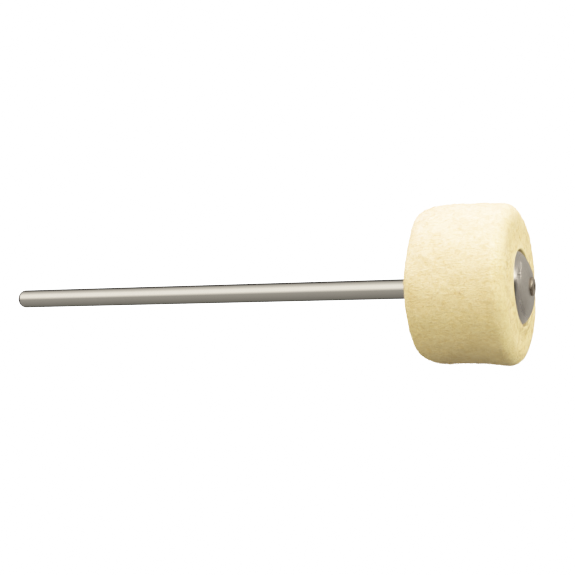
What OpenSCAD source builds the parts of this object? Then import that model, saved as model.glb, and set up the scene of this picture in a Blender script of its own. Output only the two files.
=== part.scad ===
// Felt beater: a short felt cylinder clamped between two washers on the end of a plain rod. The outer
// washer is dished, and its rim is pressed into the felt.
//
// The rod lies along X, with the head towards +X and +Z up. The origin is on the rod's axis,
// where the rounded nose of the free end meets the full diameter. Millimetres.

/* [Shaft] */
// Diameter of the plain rod, which the drum pedal's hub grips
shaft_d = 8; // [7:0.1:12]
// Length of the rod from the tip of its nose to the shoulder behind the head
shaft_len = 192.7; // [120:0.1:320]
// Radius of the rounding at the free end
nose_r = 3.1; // [0.5:0.1:3.4]
// Diameter of the spigot that is turned on the rod and carries the head
spigot_d = 6; // [5.2:0.1:6.8]
// Bevel on the shoulder and on the end of the spigot
shaft_bevel = 0.3; // [0.1:0.05:0.4]

/* [Felt head] */
// Outside diameter of the felt
felt_d = 62.5; // [50:0.1:90]
// Thickness of the felt, measured along the rod
felt_t = 38.2; // [25:0.1:60]
// How far the rounding of the back edge runs along the rod
back_round_len = 13.7; // [2:0.1:16]
// How far the rounding of the back edge runs in towards the rod
back_round_depth = 3.4; // [1:0.1:9]
// How far the rounding of the front edge runs along the rod
front_round_len = 5.1; // [1:0.1:8]
// How far the rounding of the front edge runs in towards the rod
front_round_depth = 6.5; // [1:0.1:9]

/* [Washers] */
// Outside diameter of both washers
washer_d = 29.6; // [24:0.1:34]
// Thickness of the sheet that both washers are made of
washer_t = 1.4; // [1:0.1:2]
// How far in from the rim the inner washer's outside starts to curve down
rim_round_width = 2.3; // [0.5:0.1:4]
// How far the inner washer's outside curves down at the rim
rim_round_drop = 0.9; // [0.3:0.1:0.9]
// Height of the outer washer's dish, from the back of its rim to the flat under the screw
dish_h = 5.4; // [4:0.1:6.5]
// Radius of the flat in the middle of the dish
dish_flat_r = 4.2; // [4:0.1:7]
// Height of the straight edge at the rim of the dish
dish_edge_h = 1; // [0.5:0.1:1.5]
// How deep the rim of the dish is pressed into the felt
dish_sink = 1.4; // [0.8:0.1:3]

/* [Clamp screw] */
// Outside diameter of the screw's thread
screw_d = 4; // [3:0.1:4.2]
// Length of the screw under its head
screw_len = 14; // [8:0.5:20]
// Diameter of the thin round head
head_d = 7.3; // [7:0.1:8.4]
// Height of the thin head
head_h = 1; // [0.7:0.1:2]
// Height of the straight edge at the foot of the head
head_edge_h = 0.3; // [0.1:0.1:0.6]
// Radius of the flat on top of the head
head_flat_r = 2.8; // [1.8:0.1:3.2]
// Width across the flats of the hexagon socket
socket_w = 2.5; // [1.5:0.1:3]
// Depth of the hexagon socket
socket_depth = 1.3; // [0.6:0.1:1.5]

/* [Fits] */
// Gap all round between the spigot and the washers' bores
washer_gap = 0.1; // [0.05:0.05:0.4]
// Gap all round between the spigot and the felt's bore
felt_gap = 0.1; // [0.05:0.05:0.4]
// Gap all round between the screw and its hole in the spigot
thread_gap = 0.05; // [0.02:0.01:0.1]
// How far the spigot stops short of the outer washer's outside, so that the head clamps the washer
clamp_gap = 0.8; // [0.3:0.1:0.9]
// Space left in front of the screw's point at the bottom of its hole
hole_spare = 2; // [1:0.5:5]

/* [Hidden] */

// A circle above 12 sides stays a true circle in the solids.
$fn = 96;
// Straight steps in each quarter of a curve that isn't a circle
ARC_STEPS = 10;
// Straight steps in the curve of the dish
DISH_STEPS = 18;
// Length by which a cut runs past the face that it opens
OVERCUT = 1;
// Width of the smallest flat that is left on the nose
NOSE_FLAT_R = 0.1;
// Angle of a drill's point, from side to side
DRILL_POINT = 118;

shaft_r = shaft_d / 2;
spigot_r = spigot_d / 2;
felt_r = felt_d / 2;
washer_r = washer_d / 2;
head_r = head_d / 2;
screw_r = screw_d / 2;
nose_round = min(nose_r, shaft_r - NOSE_FLAT_R);

// Places along the rod, from the free end to the head
shoulder_x = shaft_len - nose_round;
felt_x = shoulder_x + washer_t;
outer_washer_x = felt_x + felt_t - dish_sink;
screw_seat_x = outer_washer_x + dish_h;
spigot_end_x = screw_seat_x - clamp_gap;
hole_depth = screw_len - clamp_gap + hole_spare;

// Points of half a dish's outline: a parabola from the rim, where it is low, up to the edge of the flat
function dish_curve(rim_r, low, high) =
    [for (i = [0:DISH_STEPS])
        let (share = 1 - i / DISH_STEPS)
        [dish_flat_r + (rim_r - dish_flat_r) * share, high - (high - low) * pow(share, 2)]];

// Points of a quarter ellipse about a centre, from angle a0 to angle a1
function ellipse_arc(centre, radii, a0, a1) =
    [for (i = [0:ARC_STEPS])
        let (a = a0 + (a1 - a0) * i / ARC_STEPS)
        [centre[0] + radii[0] * cos(a), centre[1] + radii[1] * sin(a)]];

// Lays a piece that is modelled along +Z along +X instead, starting at a place on the rod.
module along_rod(x) {
    translate([x, 0, 0]) rotate([0, 90, 0]) children();
}

// Half outline of the rod: radius across, distance along the rod upwards.
module shaft_outline() {
    nose_core_r = shaft_r - nose_round;
    translate([0, -nose_round]) square([nose_core_r, nose_round]);
    translate([nose_core_r, 0]) intersection() {
        circle(r = nose_round);
        translate([0, -nose_round]) square(nose_round);
    }
    polygon([
        [0, 0],
        [shaft_r, 0],
        [shaft_r, shoulder_x - shaft_bevel],
        [shaft_r - shaft_bevel, shoulder_x],
        [spigot_r, shoulder_x],
        [spigot_r, spigot_end_x - shaft_bevel],
        [spigot_r - shaft_bevel, spigot_end_x],
        [0, spigot_end_x]
    ]);
}

// Hole for the screw, drilled down from z = 0, with the cone that the drill leaves
module screw_hole() {
    hole_r = screw_r + thread_gap;
    point_h = hole_r / tan(DRILL_POINT / 2);
    translate([0, 0, -hole_depth]) cylinder(r = hole_r, h = hole_depth + OVERCUT);
    translate([0, 0, -hole_depth - point_h]) cylinder(r1 = 0, r2 = hole_r, h = point_h);
}

// Plain round rod with a rounded nose, a shoulder, and a spigot drilled for the screw
module shaft() {
    color([0.80, 0.80, 0.78]) difference() {
        along_rod(0) rotate_extrude() shaft_outline();
        along_rod(spigot_end_x) screw_hole();
    }
}

// Flat washer behind the felt. It seats on the rod's shoulder, and its outside curves down to the rim
// towards the free end.
module inner_washer() {
    bore_r = spigot_r + washer_gap;
    rim_centre = [washer_r - rim_round_width, washer_t - rim_round_drop];
    color([0.62, 0.60, 0.58]) along_rod(felt_x) mirror([0, 0, 1]) difference() {
        rotate_extrude() polygon(concat(
            [[0, 0], [washer_r, 0]],
            ellipse_arc(rim_centre, [rim_round_width, rim_round_drop], 0, 90),
            [[0, washer_t]]
        ));
        translate([0, 0, -OVERCUT]) cylinder(r = bore_r, h = washer_t + 2 * OVERCUT);
    }
}

// Outline of the space inside the dish, shrunk all over by a gap, with the back of the rim at z = 0
module dish_inside(gap) {
    top = dish_h - washer_t - gap;
    polygon(concat([[0, 0]], dish_curve(washer_r - washer_t - gap, 0, top), [[0, top]]));
}

// Dished washer in front of the felt, with the back of its rim on z = 0
module outer_washer() {
    bore_r = spigot_r + washer_gap;
    color([0.62, 0.60, 0.58]) along_rod(outer_washer_x) difference() {
        rotate_extrude() difference() {
            polygon(concat(
                [[0, 0], [washer_r, 0]],
                dish_curve(washer_r, dish_edge_h, dish_h),
                [[0, dish_h]]
            ));
            dish_inside(0);
        }
        translate([0, 0, -OVERCUT]) cylinder(r = bore_r, h = dish_h + 2 * OVERCUT);
    }
}

// Felt cylinder with a long shallow rounding behind and a shorter, deeper one in front. A round groove
// takes the rim of the dish, and the felt inside it fills the dish.
module felt_head() {
    bore_r = spigot_r + felt_gap;
    groove_z = felt_t - dish_sink;
    back_centre = [felt_r - back_round_depth, back_round_len];
    front_centre = [felt_r - front_round_depth, felt_t - front_round_len];
    color([0.93, 0.87, 0.71]) along_rod(felt_x) difference() {
        rotate_extrude() {
            difference() {
                polygon(concat(
                    [[0, 0]],
                    ellipse_arc(back_centre, [back_round_depth, back_round_len], -90, 0),
                    ellipse_arc(front_centre, [front_round_depth, front_round_len], 0, 90),
                    [[0, felt_t]]
                ));
                translate([0, groove_z]) square([washer_r + felt_gap, dish_sink + OVERCUT]);
            }
            translate([0, groove_z]) dish_inside(felt_gap);
        }
        translate([0, 0, -OVERCUT]) cylinder(r = bore_r, h = felt_t + dish_h + 2 * OVERCUT);
    }
}

// Thin-headed screw with a hexagon socket, which pulls the outer washer towards the shoulder
module clamp_screw() {
    dome = [head_r - head_flat_r, head_h - head_edge_h];
    socket_r = socket_w / sqrt(3);
    color([0.66, 0.63, 0.58]) along_rod(screw_seat_x) difference() {
        union() {
            rotate_extrude() polygon(concat(
                [[0, 0], [head_r, 0]],
                ellipse_arc([head_flat_r, head_edge_h], dome, 0, 90),
                [[0, head_h]]
            ));
            translate([0, 0, -screw_len]) cylinder(r = screw_r, h = screw_len);
        }
        translate([0, 0, head_h - socket_depth])
            cylinder(r = socket_r, h = socket_depth + OVERCUT, $fn = 6);
    }
}

shaft();
inner_washer();
felt_head();
outer_washer();
clamp_screw();
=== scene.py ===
import math

import bpy
import numpy as np
from bpy.props import FloatProperty, FloatVectorProperty, IntProperty, PointerProperty
from mathutils import Matrix, Vector


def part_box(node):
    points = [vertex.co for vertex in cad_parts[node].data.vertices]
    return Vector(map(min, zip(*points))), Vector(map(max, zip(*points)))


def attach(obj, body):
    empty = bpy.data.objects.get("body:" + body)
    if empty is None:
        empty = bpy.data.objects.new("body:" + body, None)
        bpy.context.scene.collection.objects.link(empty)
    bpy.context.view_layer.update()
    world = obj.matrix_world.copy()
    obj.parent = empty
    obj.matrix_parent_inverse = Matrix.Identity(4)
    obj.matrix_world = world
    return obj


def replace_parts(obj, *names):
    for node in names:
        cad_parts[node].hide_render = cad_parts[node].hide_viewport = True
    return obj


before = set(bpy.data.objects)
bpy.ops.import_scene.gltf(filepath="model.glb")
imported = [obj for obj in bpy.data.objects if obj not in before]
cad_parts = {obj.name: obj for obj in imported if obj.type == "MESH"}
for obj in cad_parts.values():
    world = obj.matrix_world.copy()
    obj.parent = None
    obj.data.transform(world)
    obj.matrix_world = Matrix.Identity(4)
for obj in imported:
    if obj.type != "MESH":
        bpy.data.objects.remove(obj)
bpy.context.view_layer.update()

bl_info = {
    "name": "Felt Beater",
    "version": (1, 0, 0),
    "blender": (4, 5, 0),
    "location": "3D View > Sidebar > Beater",
    "description": "Builds a felt beater: a wool felt head clamped between washers on a plated rod",
    "category": "Add Mesh",
}

MM = 0.001
TAU = 2 * math.pi


# Sizes that the frame already fixes

def cad_span(node):
    """Start and end along the rod, and outside radius, of a node that is round about the rod's axis."""
    low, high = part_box(node)
    return low.x, high.x, (high.y - low.y) / 2


ROD_START, ROD_END, ROD_R = cad_span("shaft")
BACK_START, BACK_END, WASHER_R = cad_span("inner_washer")
FELT_START, FELT_END, FELT_R = cad_span("felt_head")  # the end fills the dish of the front washer
FRONT_START, FRONT_END, _ = cad_span("outer_washer")
SCREW_START, SCREW_END, HEAD_R = cad_span("clamp_screw")


# Settings

def size_setting(name, millimetres, text):
    return FloatProperty(name=name, default=millimetres * MM, unit="LENGTH", description=text)


def angle_setting(name, degrees, text):
    return FloatProperty(name=name, default=math.radians(degrees), subtype="ANGLE", description=text)


def color_setting(name, color, text):
    return FloatVectorProperty(name=name, default=color, size=3, subtype="COLOR", description=text)


class RodSettings(bpy.types.PropertyGroup):
    nose: size_setting("Nose rounding", 3.1, "Radius of the rounding at the free end")
    bevel: size_setting("Bevel", 0.3, "Bevel on the shoulder and on the end of the spigot")
    spigot_r: size_setting("Spigot radius", 3.0, "Radius of the turned-down end that carries the head")
    hole_r: size_setting("Hole radius", 2.05, "Radius of the screw's hole in the end of the spigot")
    hole_depth: size_setting("Hole depth", 15.2, "Depth of the screw's hole down to the drill's cone")
    hole_point: size_setting("Drill point", 1.2, "Height of the cone that the drill left")
    sides: IntProperty(name="Sides", default=144, min=24,
                       description="Steps around the rod")
    tint: color_setting("Plating", (0.86, 0.845, 0.82), "Colour that the bright plating reflects")


class FeltSettings(bpy.types.PropertyGroup):
    back_len: size_setting("Back rounding, along", 13.7, "How far the back rounding runs along the rod")
    back_depth: size_setting("Back rounding, in", 3.4, "How far the back rounding runs in towards the rod")
    front_len: size_setting("Front rounding, along", 5.1, "How far the front rounding runs along the rod")
    front_depth: size_setting("Front rounding, in", 6.5,
                              "How far the front rounding runs in towards the rod")
    bore_r: size_setting("Bore radius", 3.1, "Radius of the hole through the felt")
    groove: size_setting("Groove", 1.4, "Depth of the groove that the front washer's rim sits in")
    gap: size_setting("Gap", 0.1, "Gap between the felt and the front washer")
    rise: size_setting("Off centre", 1.43, "How far the felt sits above the rod's axis")
    lean: angle_setting("Lean", 1.0, "How far the felt leans forwards and down on its spigot")
    front_skew: angle_setting("Front skew", 1.9, "How far the front face was cut askew, back at the top")
    fuller: size_setting("Fuller corners", 0.56,
                         "How far the lower corners stand out past an even rounding")
    squeeze: size_setting("Squeeze", 0.67, "How far the felt stands up round the washer that presses it")
    sides: IntProperty(name="Sides", default=440, min=48,
                       description="Steps around the felt")
    step: size_setting("Step", 0.48, "Distance between the rings of the felt's skin")
    seed: IntProperty(name="Seed", default=11, description="Chooses the lumps in the skin")
    light: color_setting("Light wool", (0.985, 0.84, 0.55), "Colour of the cleaner fibres")
    # Painted shade, in part: the dark colour lands in the hollows between the matted fibres, where shade
    # would fall; the rest of its spread is random straw tone
    dark: color_setting("Dark wool", (0.81, 0.63, 0.325), "Colour of the hollows between the fibres")


class FuzzSettings(bpy.types.PropertyGroup):
    side_count: IntProperty(name="Fibres on the side", default=9800, min=0,
                            description="Loose fibres on the round side and its roundings")
    end_count: IntProperty(name="Fibres on the ends", default=7000, min=0,
                           description="Loose fibres on the two flat ends")
    length: size_setting("Length", 1.7, "Usual length of a loose fibre")
    thickness: size_setting("Thickness", 0.05, "Thickness of a loose fibre in its middle")
    lift: FloatProperty(name="Lift", default=0.22, min=0, max=0.6,
                        description="Height of a fibre's loop as a share of its length")
    seed: IntProperty(name="Seed", default=5, description="Chooses where the fibres lie")


class WasherSettings(bpy.types.PropertyGroup):
    rim_width: size_setting("Rim rounding, in", 2.3,
                            "How far in from the rim the outside starts to curve down")
    rim_drop: size_setting("Rim rounding, down", 0.9, "How far the outside curves down at the rim")
    sheet: size_setting("Sheet", 1.4, "Thickness of the sheet that the dish is pressed from")
    dish_flat_r: size_setting("Dish flat", 4.2, "Radius of the flat in the middle of the dish")
    dish_edge: size_setting("Dish edge", 1.0, "Height of the straight edge at the rim of the dish")
    sag: size_setting("Sag", 0.76, "How far the front washer sits below the rod's axis")
    lean: angle_setting("Lean", 2.0, "How far the front washer leans back at the top")
    bore_r: size_setting("Bore radius", 3.1, "Radius of the hole")
    edge: size_setting("Edge bevel", 0.12, "Bevel on the corners that the press left")
    mark_r: size_setting("Mark radius", 11.7, "Radius of the middle of the ring of punched strokes")
    mark_len: size_setting("Mark length", 1.6, "Length of one punched stroke, along the radius")
    mark_width: size_setting("Mark width", 0.5, "Width of one punched stroke")
    mark_depth: size_setting("Mark depth", 0.16, "Depth of one punched stroke")
    mark_count: IntProperty(name="Mark places", default=60, min=4,
                            description="Places for strokes in a whole turn")
    sides: IntProperty(name="Sides", default=384, min=48,
                       description="Steps around the washer")
    tint: color_setting("Dull plating", (0.60, 0.575, 0.55), "Colour of the dull plating")


class ScrewSettings(bpy.types.PropertyGroup):
    shank_r: size_setting("Shank radius", 2.0, "Radius over the screw's thread")
    edge: size_setting("Edge", 0.3, "Height of the straight edge at the foot of the head")
    flat_r: size_setting("Flat", 2.8, "Radius of the flat on top of the head")
    socket_w: size_setting("Socket width", 2.5, "Width across the flats of the hexagon socket")
    socket_depth: size_setting("Socket depth", 1.3, "Depth of the hexagon socket")
    sag: size_setting("Sag", 0.33, "How far the head sits below the rod's axis")
    sides: IntProperty(name="Sides", default=240, min=24,
                       description="Steps around the screw")
    tint: color_setting("Browned plating", (0.52, 0.46, 0.39), "Colour of the screw's plating")


class StudioSettings(bpy.types.PropertyGroup):
    azimuth: angle_setting("Azimuth", 23.73, "Turn of the view about the vertical, from straight along Y")
    elevation: angle_setting("Elevation", 10.43, "Height of the camera above the horizon")
    roll: angle_setting("Roll", -6.15, "Roll of the camera about its own line of sight")
    aim: FloatVectorProperty(name="Aim", default=(128.5 * MM, 6.3 * MM, 0.69 * MM), size=3,
                             unit="LENGTH", description="Point that the camera looks at")
    distance: size_setting("Distance", 507.5, "Distance from the camera to its aim")
    lens: FloatProperty(name="Lens", default=75.1, description="Focal length in millimetres")
    floor_z: size_setting("Floor", -60, "Height of the floor")
    light: FloatProperty(name="Light", default=1.0, min=0,
                         description="Strength of all the soft lights together")


# Meshes from numpy arrays

def run(start, end, count):
    """Points evenly spaced on a straight line from start to end, without the last one."""
    share = np.arange(count)[:, None] / count
    return np.asarray(start) * (1 - share) + np.asarray(end) * share


def bend(centre, radii, from_deg, to_deg, count):
    """Points on an ellipse about a centre: the centre plus the radii times the cosine and the sine
    of an angle that goes evenly from one value to the other."""
    angle = np.radians(np.linspace(from_deg, to_deg, count))
    return np.stack([centre[0] + radii[0] * np.cos(angle), centre[1] + radii[1] * np.sin(angle)], axis=1)


def smooth(low, high, value):
    """0 below low, 1 above high, and between them the cubic 3t^2 - 2t^3 of the share t of the way."""
    t = np.clip((value - low) / (high - low), 0, 1)
    return t * t * (3 - 2 * t)


def turned(profile, sides):
    """Rings of a profile turned about the X axis: a point at distance x and radius r goes to
    (x, r cos a, r sin a) for every angle a. Returns an array of rings, sides, 3."""
    angle = TAU * np.arange(sides) / sides
    x, r = profile[:, 0:1], profile[:, 1:2]
    return np.stack([x + 0 * angle, r * np.cos(angle), r * np.sin(angle)], axis=-1)


def wave_field(points, wavelength, count, rng):
    """Smooth random values with a spread of 1: the sum of cosine waves of one length that run
    through space in random directions, with random phases, times the root of 2 over their number."""
    heading = rng.normal(size=(count, 3))
    heading /= np.linalg.norm(heading, axis=1, keepdims=True)
    phase = rng.uniform(0, TAU, count)
    return np.cos(points @ heading.T * (TAU / wavelength) + phase).sum(axis=-1) * math.sqrt(2 / count)


def ring_normals(rings, closed):
    """Unit normals of a grid of rings: the cross product of its steps along the profile and around."""
    if closed:
        along = np.roll(rings, -1, axis=0) - np.roll(rings, 1, axis=0)
    else:
        along = np.gradient(rings, axis=0)
    around = np.roll(rings, -1, axis=1) - np.roll(rings, 1, axis=1)
    normal = np.cross(around, along)
    return normal / np.maximum(np.linalg.norm(normal, axis=-1, keepdims=True), 1e-12)


def skin_normals(rings):
    """Unit normals of an open skin round the X axis, turned to point away from it."""
    normals = ring_normals(rings, False)
    middle = len(rings) // 2
    return normals if (normals[middle, 0] * rings[middle, 0])[1:].sum() >= 0 else -normals


def ring_faces(count, sides, closed):
    """Quads that join each ring to the next, and the last ring to the first on a closed profile."""
    ring = np.arange(count if closed else count - 1)[:, None]
    side = np.arange(sides)[None, :]
    above, beside = (ring + 1) % count, (side + 1) % sides
    corners = [ring * sides + side, ring * sides + beside, above * sides + beside, above * sides + side]
    return np.stack(corners, axis=-1).reshape(-1, 4)


def fan_faces(pole, first, sides):
    """Triangles that close a ring of vertices, which starts at first, onto a pole."""
    side = np.arange(sides)
    return np.stack([np.full(sides, pole), first + side, first + (side + 1) % sides], axis=-1)


def signed_volume(points, faces):
    """Six times the volume that the faces enclose, and negative if they point inwards."""
    a, b, c = (points[faces[:, i]] for i in range(3))
    volume = np.einsum("ij,ij->i", a, np.cross(b, c)).sum()
    if faces.shape[1] == 4:
        d = points[faces[:, 3]]
        volume += np.einsum("ij,ij->i", a, np.cross(c, d)).sum()
    return volume


def make_piece(name, points, face_sets, material, sharp_deg=40):
    """Makes a mesh piece from points and arrays of quads and triangles, facing outwards."""
    volume = sum(signed_volume(points, faces) for faces in face_sets)
    faces = [face for group in face_sets for face in (group if volume > 0 else group[:, ::-1]).tolist()]
    mesh = bpy.data.meshes.new(name)
    mesh.from_pydata(points.tolist(), [], faces)
    mesh.validate()
    mesh.shade_smooth()
    mesh.set_sharp_from_angle(angle=math.radians(sharp_deg))
    mesh.materials.append(material)
    piece = bpy.data.objects.new(name, mesh)
    bpy.context.scene.collection.objects.link(piece)
    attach(piece, "root")
    return piece


def ring_piece(name, rings, material, sharp_deg=40):
    """A piece from a closed profile's rings, such as a washer."""
    count, sides, _ = rings.shape
    faces = [ring_faces(count, sides, True)]
    return make_piece(name, rings.reshape(-1, 3), faces, material, sharp_deg)


def capped_piece(name, rings, start_x, end_x, material, sharp_deg=40):
    """A piece from an open profile's rings, closed at both ends by a pole on the axis."""
    count, sides, _ = rings.shape
    points = np.concatenate([rings.reshape(-1, 3), [[start_x, 0, 0], [end_x, 0, 0]]])
    last = (count - 1) * sides
    start_fan = fan_faces(count * sides, 0, sides)
    end_fan = fan_faces(count * sides + 1, last, sides)
    # The start pole is seen from outside with the ring running the other way.
    faces = [ring_faces(count, sides, False), start_fan[:, ::-1], end_fan]
    return make_piece(name, points, faces, material, sharp_deg)


# Shader nodes

class Nodes:
    """Adds nodes to a tree and joins them, left to right in the order that they are made."""

    def __init__(self, tree):
        self.tree = tree
        self.made = 0

    def add(self, kind, values=None, **settings):
        """A node with settings, and with values or links for its inputs by name or number."""
        node = self.tree.nodes.new(kind)
        node.location = (180 * self.made, 0)
        self.made += 1
        for key, value in settings.items():
            setattr(node, key, value)
        for key, value in (values or {}).items():
            if isinstance(value, bpy.types.NodeSocket):
                self.tree.links.new(value, node.inputs[key])
            else:
                node.inputs[key].default_value = value
        return node

    def math(self, operation, a, b=0.0, clamp=False):
        return self.add("ShaderNodeMath", {0: a, 1: b}, operation=operation, use_clamp=clamp).outputs[0]

    def mix_color(self, factor, a, b, blend="MIX"):
        node = self.add("ShaderNodeMix", {"Factor": factor}, data_type="RGBA", blend_type=blend)
        for name, value in (("A", a), ("B", b)):
            socket = next(s for s in node.inputs if s.name == name and s.type == "RGBA")
            if isinstance(value, bpy.types.NodeSocket):
                self.tree.links.new(value, socket)
            else:
                socket.default_value = (*value, 1.0)
        return next(s for s in node.outputs if s.type == "RGBA")

    def spread(self, value, low, high, to_low=0.0, to_high=1.0):
        """Maps low to high onto to_low to to_high, and holds the ends."""
        values = {"Value": value, "From Min": low, "From Max": high, "To Min": to_low, "To Max": to_high}
        return self.add("ShaderNodeMapRange", values).outputs["Result"]

    def noise(self, vector, scale, detail=3.0, roughness=0.55):
        values = {"Vector": vector, "Scale": scale, "Detail": detail, "Roughness": roughness}
        return self.add("ShaderNodeTexNoise", values).outputs["Fac"]

    def group(self, group, values):
        return self.add("ShaderNodeGroup", values, node_tree=group).outputs


def new_group(name, inputs, outputs):
    """An empty shader group with named inputs (name, type, default) and outputs (name, type)."""
    tree = bpy.data.node_groups.new(name, "ShaderNodeTree")
    for socket_name, kind, default in inputs:
        socket = tree.interface.new_socket(name=socket_name, in_out="INPUT", socket_type=kind)
        if default is not None:
            socket.default_value = default
    for socket_name, kind in outputs:
        tree.interface.new_socket(name=socket_name, in_out="OUTPUT", socket_type=kind)
    nodes = Nodes(tree)
    return tree, nodes, nodes.add("NodeGroupInput").outputs


def new_material(name):
    """A material with an empty Principled surface. Returns the material, its nodes and the shader."""
    material = bpy.data.materials.new(name)
    material.use_nodes = True
    material.node_tree.nodes.clear()
    nodes = Nodes(material.node_tree)
    shader = nodes.add("ShaderNodeBsdfPrincipled")
    nodes.add("ShaderNodeOutputMaterial", {"Surface": shader.outputs["BSDF"]})
    return material, nodes, shader


def feed(nodes, shader, **sockets):
    """Joins values to the shader's sockets, whose names have underscores for spaces here."""
    for key, value in sockets.items():
        socket = shader.inputs[key.replace("_", " ")]
        if isinstance(value, bpy.types.NodeSocket):
            nodes.tree.links.new(value, socket)
        else:
            socket.default_value = value


def cloud_group():
    """Soft cloudiness: one coarse and one fine noise, mixed and stretched to the whole of 0 to 1."""
    existing = bpy.data.node_groups.get("Clouding")
    if existing:
        return existing
    tree, nodes, given = new_group(
        "Clouding",
        [("Vector", "NodeSocketVector", None), ("Coarse Scale", "NodeSocketFloat", 100.0),
         ("Fine Scale", "NodeSocketFloat", 600.0), ("Fine Share", "NodeSocketFloat", 0.4)],
        [("Value", "NodeSocketFloat")])
    coarse = nodes.noise(given["Vector"], given["Coarse Scale"], 2.0)
    fine = nodes.noise(given["Vector"], given["Fine Scale"], 4.0)
    mixed = nodes.add("ShaderNodeMix", {"Factor": given["Fine Share"], "A": coarse, "B": fine})
    value = nodes.spread(mixed.outputs["Result"], 0.36, 0.64)
    nodes.add("NodeGroupOutput", {"Value": value})
    return tree


def fibre_group():
    """Matted fibres: noises stretched hard along four different directions, of which the strongest
    shows at each point."""
    existing = bpy.data.node_groups.get("Matted Fibres")
    if existing:
        return existing
    tree, nodes, given = new_group(
        "Matted Fibres",
        [("Vector", "NodeSocketVector", None), ("Scale", "NodeSocketFloat", 1500.0)],
        [("Value", "NodeSocketFloat")])
    bend_noise = nodes.add("ShaderNodeTexNoise", {"Vector": given["Vector"], "Scale": 500.0, "Detail": 1.0})
    shift = nodes.add("ShaderNodeVectorMath", {0: bend_noise.outputs["Color"], 1: (0.0012,) * 3},
                      operation="MULTIPLY")
    bent = nodes.add("ShaderNodeVectorMath", {0: given["Vector"], 1: shift.outputs[0]}, operation="ADD")
    strongest = None
    turns = ((20, 35, 10), (75, -20, 60), (-50, 80, 120), (10, -65, 155))
    for turn in turns:
        mapping = nodes.add("ShaderNodeMapping", {
            "Vector": bent.outputs[0],
            "Rotation": tuple(math.radians(a) for a in turn),
            "Scale": (0.40, 1.0, 1.0)})
        layer = nodes.noise(mapping.outputs[0], given["Scale"], 1.0, 0.5)
        strongest = layer if strongest is None else nodes.math("MAXIMUM", strongest, layer)
    value = nodes.spread(strongest, 0.46, 0.74)
    nodes.add("NodeGroupOutput", {"Value": value})
    return tree


def lathe_group():
    """Fine tool lines: noise along one distance only, such as the radius or the way along a rod."""
    existing = bpy.data.node_groups.get("Tool Lines")
    if existing:
        return existing
    tree, nodes, given = new_group(
        "Tool Lines",
        [("Distance", "NodeSocketFloat", 0.0), ("Lines per Metre", "NodeSocketFloat", 9000.0)],
        [("Value", "NodeSocketFloat")])
    values = {"W": given["Distance"], "Scale": given["Lines per Metre"], "Detail": 3.0, "Roughness": 0.6}
    lines = nodes.add("ShaderNodeTexNoise", values, noise_dimensions="1D")
    nodes.add("NodeGroupOutput", {"Value": nodes.spread(lines.outputs["Fac"], 0.3, 0.7)})
    return tree


def scratch_group():
    """Sparse hairline scratches: thin strands of stretched noise near one value, broken up by a mask."""
    existing = bpy.data.node_groups.get("Hairline Scratches")
    if existing:
        return existing
    tree, nodes, given = new_group(
        "Hairline Scratches",
        [("Vector", "NodeSocketVector", None), ("Scale", "NodeSocketFloat", 160.0),
         ("Stretch", "NodeSocketVector", (0.05, 1.0, 1.0))],
        [("Value", "NodeSocketFloat")])
    stretched = nodes.add("ShaderNodeVectorMath", {0: given["Vector"], 1: given["Stretch"]},
                          operation="MULTIPLY").outputs[0]
    strand = nodes.noise(stretched, given["Scale"], 2.0)
    near = nodes.math("ABSOLUTE", nodes.math("SUBTRACT", strand, 0.5))
    line = nodes.spread(near, 0.0, 0.012, 1.0, 0.0)
    patches = nodes.spread(nodes.noise(given["Vector"], given["Scale"], 1.0), 0.55, 0.68)
    nodes.add("NodeGroupOutput", {"Value": nodes.math("MULTIPLY", line, patches)})
    return tree


def object_point(nodes):
    return nodes.add("ShaderNodeTexCoord").outputs["Object"]


def radius_from(nodes, point):
    """Distance of a point from the rod's axis."""
    axes = nodes.add("ShaderNodeSeparateXYZ", {0: point}).outputs
    square = nodes.math("ADD", nodes.math("MULTIPLY", axes["Y"], axes["Y"]),
                        nodes.math("MULTIPLY", axes["Z"], axes["Z"]))
    return nodes.math("SQRT", square)


def felt_material(felt, name="wool felt", loose=False):
    """Pressed wool: cream and straw mottling, matted fibres whose hollows are painted darker as painted
    shade, and a soft sheen. Loose fibres are paler.
    """
    material, nodes, shader = new_material(name)
    point = object_point(nodes)
    cloud = nodes.group(cloud_group(), {"Vector": point, "Coarse Scale": 210.0, "Fine Scale": 800.0,
                                        "Fine Share": 0.62})["Value"]
    fibres = nodes.group(fibre_group(), {"Vector": point, "Scale": 1500.0})["Value"]
    # Painted shade, in part: on the felt body the fibre share of this blend also sets the bump's height
    # below, so the dark wool colour lies in the bump's hollows as painted shade; the cloud share is random
    # tone
    blend = nodes.math("ADD", nodes.math("MULTIPLY", cloud, 0.45), nodes.math("MULTIPLY", fibres, 0.55))
    color = nodes.mix_color(blend, tuple(felt.dark), tuple(felt.light))
    patch = nodes.spread(nodes.noise(point, 45.0, 2.0), 0.35, 0.65, 0.0, 0.35)
    color = nodes.mix_color(patch, color, (0.95, 0.93, 0.90), "MULTIPLY")
    feed(nodes, shader, Base_Color=color, Roughness=nodes.spread(cloud, 0, 1, 0.86, 0.97))
    feed(nodes, shader, Sheen_Weight=0.35 if loose else 0.22, Sheen_Roughness=0.55)
    shader.inputs["Specular IOR Level"].default_value = 0.12
    shader.inputs["Sheen Tint"].default_value = (1.0, 0.95, 0.84, 1.0)
    if not loose:
        height = nodes.math("ADD", nodes.math("MULTIPLY", fibres, 0.7), nodes.math("MULTIPLY", cloud, 0.3))
        bump = nodes.add("ShaderNodeBump", {"Strength": 0.60, "Distance": 0.20 * MM, "Height": height})
        feed(nodes, shader, Normal=bump.outputs["Normal"])
    return material


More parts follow.
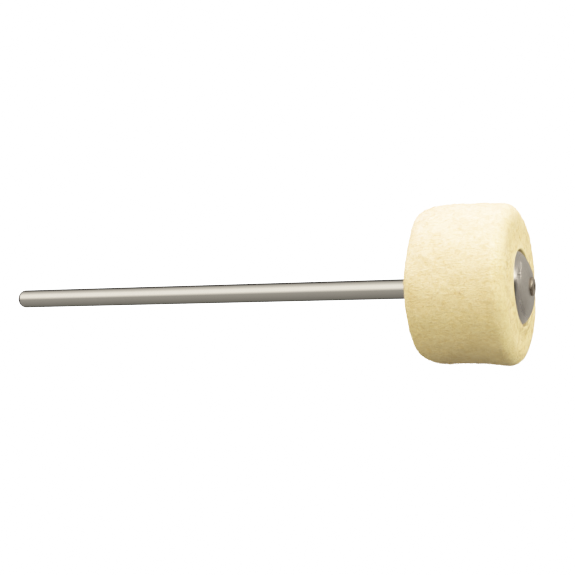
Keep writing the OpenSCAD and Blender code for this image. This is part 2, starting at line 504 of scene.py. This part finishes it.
def chrome_material(rod):
    """Bright plating on a ground rod: faint grinding lines round it, hairlines along it, dull smudges."""
    material, nodes, shader = new_material("bright plating")
    point = object_point(nodes)
    along = nodes.add("ShaderNodeSeparateXYZ", {0: point}).outputs["X"]
    lines = nodes.group(lathe_group(), {"Distance": along, "Lines per Metre": 2600.0})["Value"]
    cloud = nodes.group(cloud_group(), {"Vector": point, "Coarse Scale": 60.0, "Fine Scale": 420.0,
                                        "Fine Share": 0.35})["Value"]
    scratch = nodes.group(scratch_group(), {"Vector": point, "Scale": 260.0,
                                            "Stretch": (0.03, 1.0, 1.0)})["Value"]
    worn = nodes.math("MAXIMUM", nodes.math("MULTIPLY", cloud, 0.5), scratch)
    roughness = nodes.spread(worn, 0, 1, 0.07, 0.17)
    duller = tuple(c * 0.9 for c in rod.tint)
    color = nodes.mix_color(nodes.math("MULTIPLY", worn, 0.5), tuple(rod.tint), duller)
    height = nodes.math("SUBTRACT", nodes.math("MULTIPLY", lines, 0.5), nodes.math("MULTIPLY", scratch, 0.5))
    bump = nodes.add("ShaderNodeBump", {"Strength": 0.25, "Distance": 0.004 * MM, "Height": height})
    feed(nodes, shader, Base_Color=color, Metallic=1.0, Roughness=roughness, Normal=bump.outputs["Normal"])
    return material


def plate_material(name, tint, clean, worn_roughness, brown=0.0, bright_rim=0.0):
    """Dull plating on pressed steel: turned lines about the rod's axis, clouding, hairlines, brown spots
    up to the share given by brown, and a rim that handling has polished, by the share bright_rim."""
    material, nodes, shader = new_material(name)
    point = object_point(nodes)
    radius = radius_from(nodes, point)
    lines = nodes.group(lathe_group(), {"Distance": radius, "Lines per Metre": 5200.0})["Value"]
    cloud = nodes.group(cloud_group(), {"Vector": point, "Coarse Scale": 180.0, "Fine Scale": 1400.0,
                                        "Fine Share": 0.45})["Value"]
    scratch = nodes.group(scratch_group(), {"Vector": point, "Scale": 420.0,
                                            "Stretch": (1.0, 0.06, 1.0)})["Value"]
    roughness = nodes.spread(nodes.math("ADD", nodes.math("MULTIPLY", cloud, 0.6),
                                        nodes.math("MULTIPLY", lines, 0.4)), 0, 1, clean, worn_roughness)
    if bright_rim:
        rubbed = nodes.spread(radius, 11.6 * MM, 13.0 * MM, 1.0, 1.0 - bright_rim)
        roughness = nodes.math("MULTIPLY", roughness, rubbed)
    darker = tuple(c * 0.82 for c in tint)
    color = nodes.mix_color(nodes.math("MULTIPLY", cloud, 0.55), tuple(tint), darker)
    color = nodes.mix_color(nodes.math("MULTIPLY", scratch, 0.4), color, (0.78, 0.77, 0.75))
    if brown:
        spots = nodes.spread(nodes.noise(point, 900.0, 3.0), 0.45, 0.7, 0.0, brown)
        color = nodes.mix_color(spots, color, (0.17, 0.11, 0.06))
    height = nodes.math("ADD", nodes.math("MULTIPLY", lines, 0.6), nodes.math("MULTIPLY", cloud, 0.4))
    bump = nodes.add("ShaderNodeBump", {"Strength": 0.35, "Distance": 0.02 * MM, "Height": height})
    feed(nodes, shader, Base_Color=color, Metallic=1.0, Roughness=roughness, Normal=bump.outputs["Normal"])
    return material


# The rod

def rod_profile(rod):
    """Nose as a quarter circle, the plain rod, the shoulder, the spigot, and the drilled hole."""
    nose_end = ROD_START + rod.nose
    shoulder = BACK_START
    hole_end = ROD_END - rod.hole_depth
    nose = bend((nose_end, ROD_R - rod.nose), (rod.nose, rod.nose), 180, 90, 24)
    plain = run((nose_end, ROD_R), (shoulder - rod.bevel, ROD_R), 40)[1:]
    rest = np.array([
        (shoulder - rod.bevel, ROD_R),
        (shoulder, ROD_R - rod.bevel),
        (shoulder, rod.spigot_r),
        (ROD_END - rod.bevel, rod.spigot_r),
        (ROD_END, rod.spigot_r - rod.bevel),
        (ROD_END, rod.hole_r),
        (hole_end, rod.hole_r),
    ])
    return np.concatenate([nose, plain, rest])


class BEATER_OT_rod(bpy.types.Operator):
    """Make the plated rod with its nose, shoulder, spigot and screw hole"""
    bl_idname = "beater.make_rod"
    bl_label = "Rod"

    def execute(self, context):
        rod = context.scene.beater_rod
        rings = turned(rod_profile(rod), rod.sides)
        hole_tip = ROD_END - rod.hole_depth - rod.hole_point
        piece = capped_piece("rod", rings, ROD_START, hole_tip, chrome_material(rod))
        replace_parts(piece, "shaft")
        return {"FINISHED"}


# The felt

# Lumps in the skin: how high they are, and how long from one to the next
LUMPS = ((0.10 * MM, 30 * MM), (0.05 * MM, 9 * MM), (0.018 * MM, 3.5 * MM), (0.010 * MM, 1.7 * MM))
LUMP_WAVES = 28
# Place of the fuller lower corners, in from the front and the back of the felt, and how far they reach
FRONT_CORNER, FRONT_CORNER_REACH = 3.2 * MM, 4.6 * MM
BACK_CORNER, BACK_CORNER_REACH = 6.5 * MM, 5.6 * MM


def felt_outline(felt, washer):
    """Outside of the felt from the front of its bore to the back of its bore: the plug that fills the
    front washer, the groove for its rim, the front face, a quarter ellipse, the straight side, a long
    shallow quarter ellipse and the back face."""
    step = felt.step
    front = FRONT_START + felt.groove
    front_flat = FELT_R - felt.front_depth
    back_flat = FELT_R - felt.back_depth
    front_x = front - felt.front_len
    back_x = FELT_START + felt.back_len
    plug_r = WASHER_R - washer.sheet - felt.gap
    lip_r = WASHER_R + felt.gap
    lip = 0.6 * MM

    def steps(length):
        return max(4, round(length / step))

    front_arc = math.hypot(felt.front_len, felt.front_depth) * 1.1
    back_arc = math.hypot(felt.back_len, felt.back_depth) * 1.1
    return np.concatenate([
        run((FELT_END, felt.bore_r), (FELT_END, washer.dish_flat_r), 4),
        dish_curve(washer, FELT_END, FRONT_START, plug_r, 14),
        run((FRONT_START, plug_r + 0.3 * MM), (FRONT_START, lip_r), 4),
        run((FRONT_START, lip_r), (front - lip, lip_r), 4),
        bend((front - lip, lip_r + lip), (lip, lip), -90, 0, 6),
        run((front, lip_r + lip + 0.1 * MM), (front, front_flat), steps(front_flat - lip_r - lip)),
        bend((front_x, front_flat), (felt.front_len, felt.front_depth), 0, 90, steps(front_arc))[:-1],
        run((front_x, FELT_R), (back_x, FELT_R), steps(front_x - back_x)),
        bend((back_x, back_flat), (felt.back_len, felt.back_depth), 90, 180, steps(back_arc))[:-1],
        run((FELT_START, back_flat), (FELT_START, felt.bore_r), steps(back_flat - felt.bore_r)),
    ])


def dish_curve(washer, high, low, rim_r, count):
    """Half the outline of a dish: from the edge of its flat, at high, a parabola falls to low at the rim."""
    share = np.linspace(0, 1, count)
    return np.stack([high - (high - low) * share ** 2,
                     washer.dish_flat_r + (rim_r - washer.dish_flat_r) * share], axis=1)


def settle(points, washer):
    """Where points of the front washer, and of the felt that touches it, have settled: they sag and
    lean back at the top, fading to nothing at the bore."""
    radius = np.hypot(points[..., 1], points[..., 2])
    share = smooth(washer.bore_r, 0.6 * WASHER_R, radius)
    moved = points.copy()
    moved[..., 0] -= math.tan(washer.lean) * points[..., 2] * share
    moved[..., 2] -= washer.sag * share
    return moved


def felt_skin(felt, washer):
    """Rings of the felt's skin. Lumps of four sizes push it along its normals, and the skin swells
    round the washers that press it. The whole head sits a little high and leans. That fades to nothing
    at the bore behind, and in front to how the washer has settled."""
    rng = np.random.default_rng(felt.seed)
    outline = felt_outline(felt, washer)
    rings = turned(outline, felt.sides)
    normals = skin_normals(rings)
    radius = np.hypot(rings[..., 1], rings[..., 2])
    loose = smooth(WASHER_R, WASHER_R + 3 * MM, radius)
    lumps = sum(size * wave_field(rings, length, LUMP_WAVES, rng) for size, length in LUMPS)
    at_front = rings[..., 0] > (FELT_START + FRONT_START) / 2
    at_end = (np.abs(rings[..., 0] - FELT_START) < 1 * MM) | (rings[..., 0] > FRONT_START + 0.5 * felt.groove)
    tilt = rings[..., 2] / np.maximum(radius, felt.bore_r)
    low, high = smooth(0.3, 0.9, -tilt), smooth(0.5, 1.0, tilt)
    front_corner = np.exp(-((rings[..., 0] - FRONT_START + FRONT_CORNER) / FRONT_CORNER_REACH) ** 2)
    back_corner = np.exp(-((rings[..., 0] - FELT_START - BACK_CORNER) / BACK_CORNER_REACH) ** 2)
    corners = low * (front_corner + back_corner) - 0.4 * high * front_corner
    corners *= smooth(0.66 * FELT_R, 0.88 * FELT_R, radius)
    rings = rings + normals * (lumps * loose + felt.fuller * corners)[..., None]
    swell = smooth(WASHER_R - 0.5 * MM, WASHER_R, radius) * smooth(WASHER_R + 5.7 * MM, WASHER_R, radius)
    rings[..., 0] += felt.squeeze * swell * at_end * np.where(at_front, 1, -0.5)
    settled = settle(rings, washer)
    moved = rings.copy()
    front_share = np.clip((rings[..., 0] - FELT_START) / (FRONT_START - FELT_START), 0, 1.1) ** 2
    moved[..., 0] -= math.tan(felt.front_skew) * rings[..., 2] * front_share
    centre = np.array([(FELT_START + FRONT_START) / 2, 0, 0])
    turn = np.array(Matrix.Rotation(felt.lean, 3, "Y"))
    moved = (moved - centre) @ turn.T + centre + np.array([0, 0, felt.rise])
    front_blend = smooth(WASHER_R + felt.gap, WASHER_R + 6.7 * MM, radius)[..., None]
    back_blend = smooth(felt.bore_r, 0.7 * WASHER_R, radius)[..., None]
    front = settled * (1 - front_blend) + moved * front_blend
    back = rings * (1 - back_blend) + moved * back_blend
    return np.where(at_front[..., None], front, back)


class BEATER_OT_felt(bpy.types.Operator):
    """Make the felt head's lumpy skin and its bore"""
    bl_idname = "beater.make_felt"
    bl_label = "Felt head"

    def execute(self, context):
        felt = context.scene.beater_felt
        skin = felt_skin(felt, context.scene.beater_washer)
        bore = turned(run((FELT_START, felt.bore_r), (FELT_END, felt.bore_r), 8), felt.sides)
        rings = np.concatenate([skin, bore])
        piece = ring_piece("felt_body", rings, felt_material(felt), 80)
        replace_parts(piece, "felt_head")
        return {"FINISHED"}


# Loose fibres on the felt

FIBRE_RINGS, FIBRE_SIDES = 4, 3


def fibre_roots(rings, allowed, count, rng):
    """Random places on the skin, as likely on any equal area: position, normal and a random direction
    along the skin."""
    normals = skin_normals(rings)
    step = np.linalg.norm(np.gradient(rings, axis=0), axis=-1)
    around = np.linalg.norm(np.roll(rings, -1, axis=1) - rings, axis=-1)
    area = (step * around * allowed).reshape(-1)
    pick = rng.choice(area.size, size=count, p=area / area.sum())
    along = np.gradient(rings, axis=0).reshape(-1, 3)[pick]
    beside = (np.roll(rings, -1, axis=1) - rings).reshape(-1, 3)[pick]
    place = rings.reshape(-1, 3)[pick] + along * rng.uniform(-0.5, 0.5, (count, 1))
    place = place + beside * rng.uniform(0, 1, (count, 1))
    normal = normals.reshape(-1, 3)[pick]
    any_way = rng.normal(size=(count, 3))
    heading = any_way - normal * (any_way * normal).sum(axis=1, keepdims=True)
    heading /= np.linalg.norm(heading, axis=1, keepdims=True)
    return place, normal, heading


def fibre_mesh(place, normal, heading, fuzz, rng):
    """Each fibre is a low loop on the skin: along its heading it goes the length's share s, above the
    skin it rises by the lift times sin(pi s), and sideways it curls by a slower sine. Round that line
    runs a three-sided tube that thins towards both ends."""
    count = len(place)
    length = fuzz.length * rng.uniform(0.5, 1.5, (count, 1, 1))
    lift = fuzz.lift * rng.uniform(0.3, 1.6, (count, 1, 1))
    curl = 0.3 * rng.normal(size=(count, 1, 1))
    side = np.cross(normal, heading)
    s = np.linspace(0, 1, FIBRE_RINGS)[None, :, None]
    normal, heading, side = normal[:, None], heading[:, None], side[:, None]
    rise = lift * np.sin(math.pi * s) - 0.04
    line = place[:, None] + length * (heading * (s - 0.5) + normal * rise + side * curl * np.sin(math.pi * s))
    thick = fuzz.thickness / 2 * (0.35 + 0.65 * np.sin(math.pi * s))
    corner = TAU * np.arange(FIBRE_SIDES) / FIBRE_SIDES
    round_way = side[:, :, None] * np.cos(corner)[:, None] + normal[:, :, None] * np.sin(corner)[:, None]
    points = line[:, :, None] + round_way * thick[..., None]
    first = (np.arange(count) * FIBRE_RINGS * FIBRE_SIDES)[:, None]
    low = first[..., None] + np.arange(FIBRE_RINGS - 1)[None, :, None] * FIBRE_SIDES
    high = low + FIBRE_SIDES
    k = np.arange(FIBRE_SIDES)[None, None, :]
    beside = (k + 1) % FIBRE_SIDES
    quads = np.stack([low + k, low + beside, high + beside, high + k], axis=-1).reshape(-1, 4)
    start = first + np.arange(FIBRE_SIDES)[::-1]
    end = first + (FIBRE_RINGS - 1) * FIBRE_SIDES + np.arange(FIBRE_SIDES)
    return points.reshape(-1, 3), quads, np.concatenate([start, end])


class BEATER_OT_fuzz(bpy.types.Operator):
    """Make the short loose fibres that stand off the felt"""
    bl_idname = "beater.make_fuzz"
    bl_label = "Felt fuzz"

    def execute(self, context):
        felt, fuzz = context.scene.beater_felt, context.scene.beater_fuzz
        rng = np.random.default_rng(fuzz.seed)
        rings = felt_skin(felt, context.scene.beater_washer)
        radius = np.hypot(rings[..., 1], rings[..., 2])
        on_side = radius > FELT_R - felt.back_depth
        clear = radius > WASHER_R + fuzz.length / 2
        material = felt_material(felt, "loose wool", loose=True)
        for name, where, count in (("felt_fuzz_side", on_side, fuzz.side_count),
                                   ("felt_fuzz_ends", clear & ~on_side, fuzz.end_count)):
            place, normal, heading = fibre_roots(rings, where, count, rng)
            points, quads, caps = fibre_mesh(place, normal, heading, fuzz, rng)
            make_piece(name, points, [quads, caps], material, 180)
        return {"FINISHED"}


# Washers

# Stretches of the ring that have strokes, from one angle to another
MARK_ARCS = ((112, 150), (190, 230), (290, 330), (12, 50))


def flat_profile(washer):
    """Closed outline of the flat washer, lying on x = 0: out along the face, down the rounded rim,
    back along the underside and up the bore."""
    thickness = BACK_END - BACK_START
    rim = WASHER_R - washer.rim_width
    wall_top = thickness - washer.rim_drop
    edge = washer.edge
    return np.concatenate([
        [(thickness - edge, washer.bore_r)],
        run((thickness, washer.bore_r + edge), (thickness, rim), 64),
        bend((wall_top, rim), (washer.rim_drop, washer.rim_width), 0, 90, 22),
        [(edge, WASHER_R), (0, WASHER_R - edge)],
        [(0, washer.bore_r + edge), (edge, washer.bore_r)],
    ])


def dish_profile(washer):
    """Closed outline of the dished washer, with the back of its rim on x = 0: out along the flat, down
    a parabola to the rim's straight edge, and back up another parabola inside."""
    height, flat_r, edge = FRONT_END - FRONT_START, washer.dish_flat_r, washer.edge
    inside = height - washer.sheet
    return np.concatenate([
        [(height - edge, washer.bore_r)],
        run((height, washer.bore_r + edge), (height, flat_r), 12),
        dish_curve(washer, height, washer.dish_edge, WASHER_R, 110),
        [(edge, WASHER_R), (0, WASHER_R - edge)],
        dish_curve(washer, inside, 0, WASHER_R - washer.sheet, 24)[::-1],
        [(inside, washer.bore_r + edge), (inside + edge, washer.bore_r)],
    ])


def punched(rings, washer):
    """How deep each point is punched in: short strokes along the radius at even places round the
    ring, only inside MARK_ARCS, with soft walls."""
    radius = np.hypot(rings[..., 1], rings[..., 2])
    angle = np.degrees(np.arctan2(rings[..., 2], rings[..., 1])) % 360
    place = 360 / washer.mark_count
    number = np.round(angle / place)
    off = np.radians(angle - number * place) * radius
    long_one = np.where(number % 3 == 0, 1.0, 0.62)
    half_len = washer.mark_len / 2 * long_one
    soft = 0.12 * MM
    across = smooth(washer.mark_width / 2 + soft, washer.mark_width / 2 - soft, np.abs(off))
    down = smooth(half_len + soft, half_len - soft, np.abs(radius - washer.mark_r))
    in_arc = sum(((angle > low) & (angle < high)).astype(float) for low, high in MARK_ARCS)
    return washer.mark_depth * across * down * in_arc


class BEATER_OT_washers(bpy.types.Operator):
    """Make the flat washer behind the felt and the dished washer in front of it"""
    bl_idname = "beater.make_washers"
    bl_label = "Washers"

    def execute(self, context):
        washer = context.scene.beater_washer
        material = plate_material("dull plating", washer.tint, 0.26, 0.42, bright_rim=0.55)
        rings = turned(flat_profile(washer), washer.sides)
        rings[..., 0] = BACK_END - rings[..., 0]
        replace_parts(ring_piece("back_washer", rings, material, 50), "inner_washer")
        rings = turned(dish_profile(washer), washer.sides)
        normals = ring_normals(rings, True)
        on_flat = 3
        facing = np.sign(normals[on_flat, 0, 0])
        outside = normals[..., 0:1] * facing > 0
        rings = rings + normals * -facing * outside * punched(rings, washer)[..., None]
        rings[..., 0] += FRONT_START
        rings = settle(rings, washer)
        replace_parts(ring_piece("front_washer", rings, material, 50), "outer_washer")
        return {"FINISHED"}


# Clamp screw

def screw_profile(screw):
    """From near the middle of the flat on top of the head: out along the flat, a quarter ellipse down
    to the head's straight edge, the underside and the shank."""
    seat, top = FRONT_END, SCREW_END
    dome = (top - seat - screw.edge, HEAD_R - screw.flat_r)
    return np.concatenate([
        run((top, 0.1 * MM), (top, screw.flat_r), 40),
        bend((seat + screw.edge, screw.flat_r), dome, 0, 90, 28),
        [(seat, HEAD_R), (seat, screw.shank_r)],
        [(SCREW_START + 0.4 * MM, screw.shank_r), (SCREW_START, screw.shank_r - 0.4 * MM)],
    ])


def socket(rings, screw):
    """Depth of the hexagon socket: full depth wherever the greatest of the distances along three
    directions 60 degrees apart is less than half the width across flats, with steep walls."""
    turns = np.radians([0, 60, 120])
    across = np.abs(rings[..., 1, None] * np.cos(turns) + rings[..., 2, None] * np.sin(turns)).max(axis=-1)
    inside = screw.socket_w / 2 - across
    return screw.socket_depth * smooth(0, 0.12 * MM, inside)


class BEATER_OT_screw(bpy.types.Operator):
    """Make the thin-headed screw that holds the front washer"""
    bl_idname = "beater.make_screw"
    bl_label = "Clamp screw"

    def execute(self, context):
        screw = context.scene.beater_screw
        rings = turned(screw_profile(screw), screw.sides)
        on_top = rings[..., 0] > SCREW_END - 0.01 * MM
        rings[..., 0] -= socket(rings, screw) * on_top
        rings[..., 2] -= screw.sag * smooth(FRONT_END - 0.5 * MM, FRONT_END, rings[..., 0])
        material = plate_material("browned plating", screw.tint, 0.22, 0.40, brown=0.8)
        pole = SCREW_END - screw.socket_depth
        piece = capped_piece("thin_head_screw", rings, pole, SCREW_START, material, 50)
        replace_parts(piece, "clamp_screw")
        return {"FINISHED"}


# Stage

# Brightness of the light tent in bands: degrees from the near horizon up over the top, and a grey value.
# Along the rod there is a grey table, a soft bright band above and a dark back.
TENT_ROD = ((-180, 0.02), (-130, 0.05), (-110, 0.2), (0, 0.4), (30, 1.2), (60, 1.2), (90, 0.7),
            (110, 0.5), (140, 0.05), (180, 0.02))
# Round the head the back is a grey wall.
TENT_HEAD = ((-180, 0.6), (-130, 0.5), (-100, 0.3), (0, 0.4), (30, 1.1), (100, 1.0), (140, 0.7), (180, 0.6))
# Straight past the felt, by height instead, as 180 times the direction's rise: a bright panel above a dark
# edge
TENT_END = ((-180, 0.3), (-60, 0.4), (-45, 0.05), (40, 0.05), (50, 3.4), (105, 3.4), (120, 0.8), (180, 0.8))
# Straight past the free end, which the rod's nose mirrors
NOSE_SIDE = (0.12, 0.11, 0.11)
# Warm white of the tent's cloth
TENT_TINT = (1.0, 0.95, 0.85)
# Scene brightness that comes out as white, and the strength of the floor and backdrop, safely above it
WHITE_LEVEL = 2.5
PAPER_WHITE = 3.0
# Soft lights: name, place, size, power, colour
LIGHTS = (
    ("top light", (0.22, 0.0, 0.80), 0.8, 13.4, (0.72, 0.64, 1.0)),
    ("right light", (0.85, -0.10, 0.15), 0.4, 2.2, (0.94, 1.0, 0.70)),
    ("left light", (-0.35, -0.60, 0.25), 0.5, 2.9, (1.0, 0.96, 0.60)),
)


def tent_ramp(nodes, factor, stops):
    """A ramp in the tent's warm white, from stops of degrees and brightness."""
    ramp = nodes.add("ShaderNodeValToRGB", {"Fac": factor})
    elements = ramp.color_ramp.elements
    while len(elements) > 1:
        elements.remove(elements[-1])
    for number, (degrees, brightness) in enumerate(stops):
        place = (degrees + 180) / 360
        element = elements[0] if number == 0 else elements.new(place)
        element.position = place
        element.color = (*(part * brightness for part in TENT_TINT), 1.0)
    return ramp.outputs["Color"]


def set_tone_curve(view):
    """A print-like tone curve, which has a soft toe and rolls highlights off to white."""
    view.view_transform = "Standard"
    view.use_curve_mapping = True
    mapping = view.curve_mapping
    mapping.white_level = (WHITE_LEVEL,) * 3
    mapping.extend = "HORIZONTAL"
    points = mapping.curves[3].points
    inner = (0.08, 0.2, 0.4, 0.65, 1.0, 1.4, 1.9)
    for x in inner:
        points.new(x / WHITE_LEVEL, tone(x))
    points[0].location = (0, 0)
    points[-1].location = (1, 1)
    mapping.update()


def tone(x):
    """What brightness x comes out as: 1.02 (1 - exp(-(x / 0.75)^1.25))."""
    return 1.02 * (1 - math.exp(-((x / 0.75) ** 1.25)))


def make_world():
    """A plain light tent: a grey table, a soft bright band above it and a dark back along the rod, and a
    grey wall behind the head. Past the felt there is a bright panel above a dark edge, which the steep
    near side of the dish mirrors. The camera itself sees plain white behind the object."""
    world = bpy.data.worlds.new("light tent")
    bpy.context.scene.world = world
    world.use_nodes = True
    world.node_tree.nodes.clear()
    nodes = Nodes(world.node_tree)
    direction = nodes.add("ShaderNodeTexCoord").outputs["Generated"]
    axes = nodes.add("ShaderNodeSeparateXYZ", {0: direction}).outputs
    turn = nodes.math("ARCTAN2", axes["Z"], nodes.math("MULTIPLY", axes["Y"], -1.0))
    share = nodes.math("ADD", nodes.math("DIVIDE", turn, TAU), 0.5)
    rod, head = (tent_ramp(nodes, share, stops) for stops in (TENT_ROD, TENT_HEAD))
    tent = nodes.mix_color(nodes.spread(axes["X"], -0.25, 0.1), rod, head)
    side = tent_ramp(nodes, nodes.math("ADD", nodes.math("DIVIDE", axes["Z"], 2.0), 0.5), TENT_END)
    steep = nodes.math("SUBTRACT", axes["Y"], nodes.math("MULTIPLY", axes["Z"], 0.5))
    below_slope = nodes.spread(steep, 0.09, 0.18, 1.0, 0.0)
    near = nodes.math("MULTIPLY", nodes.spread(axes["X"], 0.70, 0.80), below_slope)
    tent = nodes.mix_color(near, tent, side)
    tent = nodes.mix_color(nodes.spread(axes["X"], -0.97, -0.88, 1.0, 0.0), tent, NOSE_SIDE)
    light = nodes.add("ShaderNodeBackground", {"Color": tent, "Strength": 1.0})
    plain = nodes.add("ShaderNodeBackground", {"Color": (1, 1, 1, 1), "Strength": PAPER_WHITE})
    seen = nodes.add("ShaderNodeLightPath").outputs["Is Camera Ray"]
    mixed = nodes.add("ShaderNodeMixShader", {0: seen, 1: light.outputs[0], 2: plain.outputs[0]})
    nodes.add("ShaderNodeOutputWorld", {"Surface": mixed.outputs[0]})


def make_floor(studio):
    """A wide plain white floor. It gives no light of its own to the object, because the tent's lower
    half already stands for the table."""
    half = 6.0
    corners = [(-half, -half, studio.floor_z), (half, -half, studio.floor_z),
               (half, half, studio.floor_z), (-half, half, studio.floor_z)]
    mesh = bpy.data.meshes.new("floor")
    mesh.from_pydata(corners, [], [(0, 1, 2, 3)])
    material = bpy.data.materials.new("white floor")
    material.use_nodes = True
    material.node_tree.nodes.clear()
    nodes = Nodes(material.node_tree)
    glow = nodes.add("ShaderNodeEmission", {"Color": (1, 1, 1, 1), "Strength": PAPER_WHITE})
    nodes.add("ShaderNodeOutputMaterial", {"Surface": glow.outputs[0]})
    mesh.materials.append(material)
    floor = bpy.data.objects.new("floor", mesh)
    bpy.context.scene.collection.objects.link(floor)
    floor.visible_diffuse = False
    floor.visible_glossy = False
    floor.visible_shadow = False


def add_area(name, place, aim, size, power, color):
    """A soft square light that lights the felt but doesn't show in the plating."""
    data = bpy.data.lights.new(name, "AREA")
    data.shape = "SQUARE"
    data.size = size
    data.energy = power
    data.color = color
    light = bpy.data.objects.new(name, data)
    light.location = place
    light.rotation_euler = (Vector(aim) - Vector(place)).to_track_quat("-Z", "Y").to_euler()
    light.visible_glossy = False
    light.visible_camera = False
    bpy.context.scene.collection.objects.link(light)


def add_camera(studio):
    """The camera, placed by azimuth, elevation, roll and distance about its aim."""
    a, e, r = studio.azimuth, studio.elevation, studio.roll
    back = Vector((math.sin(a) * math.cos(e), -math.cos(a) * math.cos(e), math.sin(e)))
    level = Vector((math.cos(a), math.sin(a), 0))
    above = back.cross(level)
    right = level * math.cos(r) + above * math.sin(r)
    up = above * math.cos(r) - level * math.sin(r)
    data = bpy.data.cameras.new("camera")
    data.lens = studio.lens
    data.sensor_width = 36
    camera = bpy.data.objects.new("camera", data)
    place = Vector(studio.aim) + back * studio.distance
    camera.matrix_world = Matrix.Translation(place) @ Matrix((right, up, back)).transposed().to_4x4()
    bpy.context.scene.collection.objects.link(camera)
    bpy.context.scene.camera = camera


class BEATER_OT_stage(bpy.types.Operator):
    """Make the white floor, the light tent, the soft lights and the camera"""
    bl_idname = "beater.make_stage"
    bl_label = "Stage"

    def execute(self, context):
        studio = context.scene.beater_studio
        set_tone_curve(context.scene.view_settings)
        make_world()
        make_floor(studio)
        head = ((FELT_START + FELT_END) / 2, 0, 0)
        for name, place, size, power, color in LIGHTS:
            add_area(name, place, head, size, power * studio.light, color)
        add_camera(studio)
        return {"FINISHED"}


class BEATER_PT_panel(bpy.types.Panel):
    """Lists the steps that build the beater"""
    bl_idname = "BEATER_PT_panel"
    bl_label = "Felt Beater"
    bl_space_type = "VIEW_3D"
    bl_region_type = "UI"
    bl_category = "Beater"

    def draw(self, context):
        for operator in OPERATORS:
            self.layout.operator(operator.bl_idname)


SETTINGS = {
    "beater_rod": RodSettings,
    "beater_felt": FeltSettings,
    "beater_fuzz": FuzzSettings,
    "beater_washer": WasherSettings,
    "beater_screw": ScrewSettings,
    "beater_studio": StudioSettings,
}
OPERATORS = (BEATER_OT_rod, BEATER_OT_felt, BEATER_OT_fuzz, BEATER_OT_washers, BEATER_OT_screw,
             BEATER_OT_stage)


def register():
    for name, group in SETTINGS.items():
        bpy.utils.register_class(group)
        setattr(bpy.types.Scene, name, PointerProperty(type=group))
    for cls in (*OPERATORS, BEATER_PT_panel):
        bpy.utils.register_class(cls)


def unregister():
    for cls in (BEATER_PT_panel, *reversed(OPERATORS)):
        bpy.utils.unregister_class(cls)
    for name, group in reversed(SETTINGS.items()):
        delattr(bpy.types.Scene, name)
        bpy.utils.unregister_class(group)


def main():
    register()
    bpy.ops.beater.make_rod()
    bpy.ops.beater.make_washers()
    bpy.ops.beater.make_felt()
    bpy.ops.beater.make_fuzz()
    bpy.ops.beater.make_screw()
    bpy.ops.beater.make_stage()


if __name__ == "__main__":
    main()
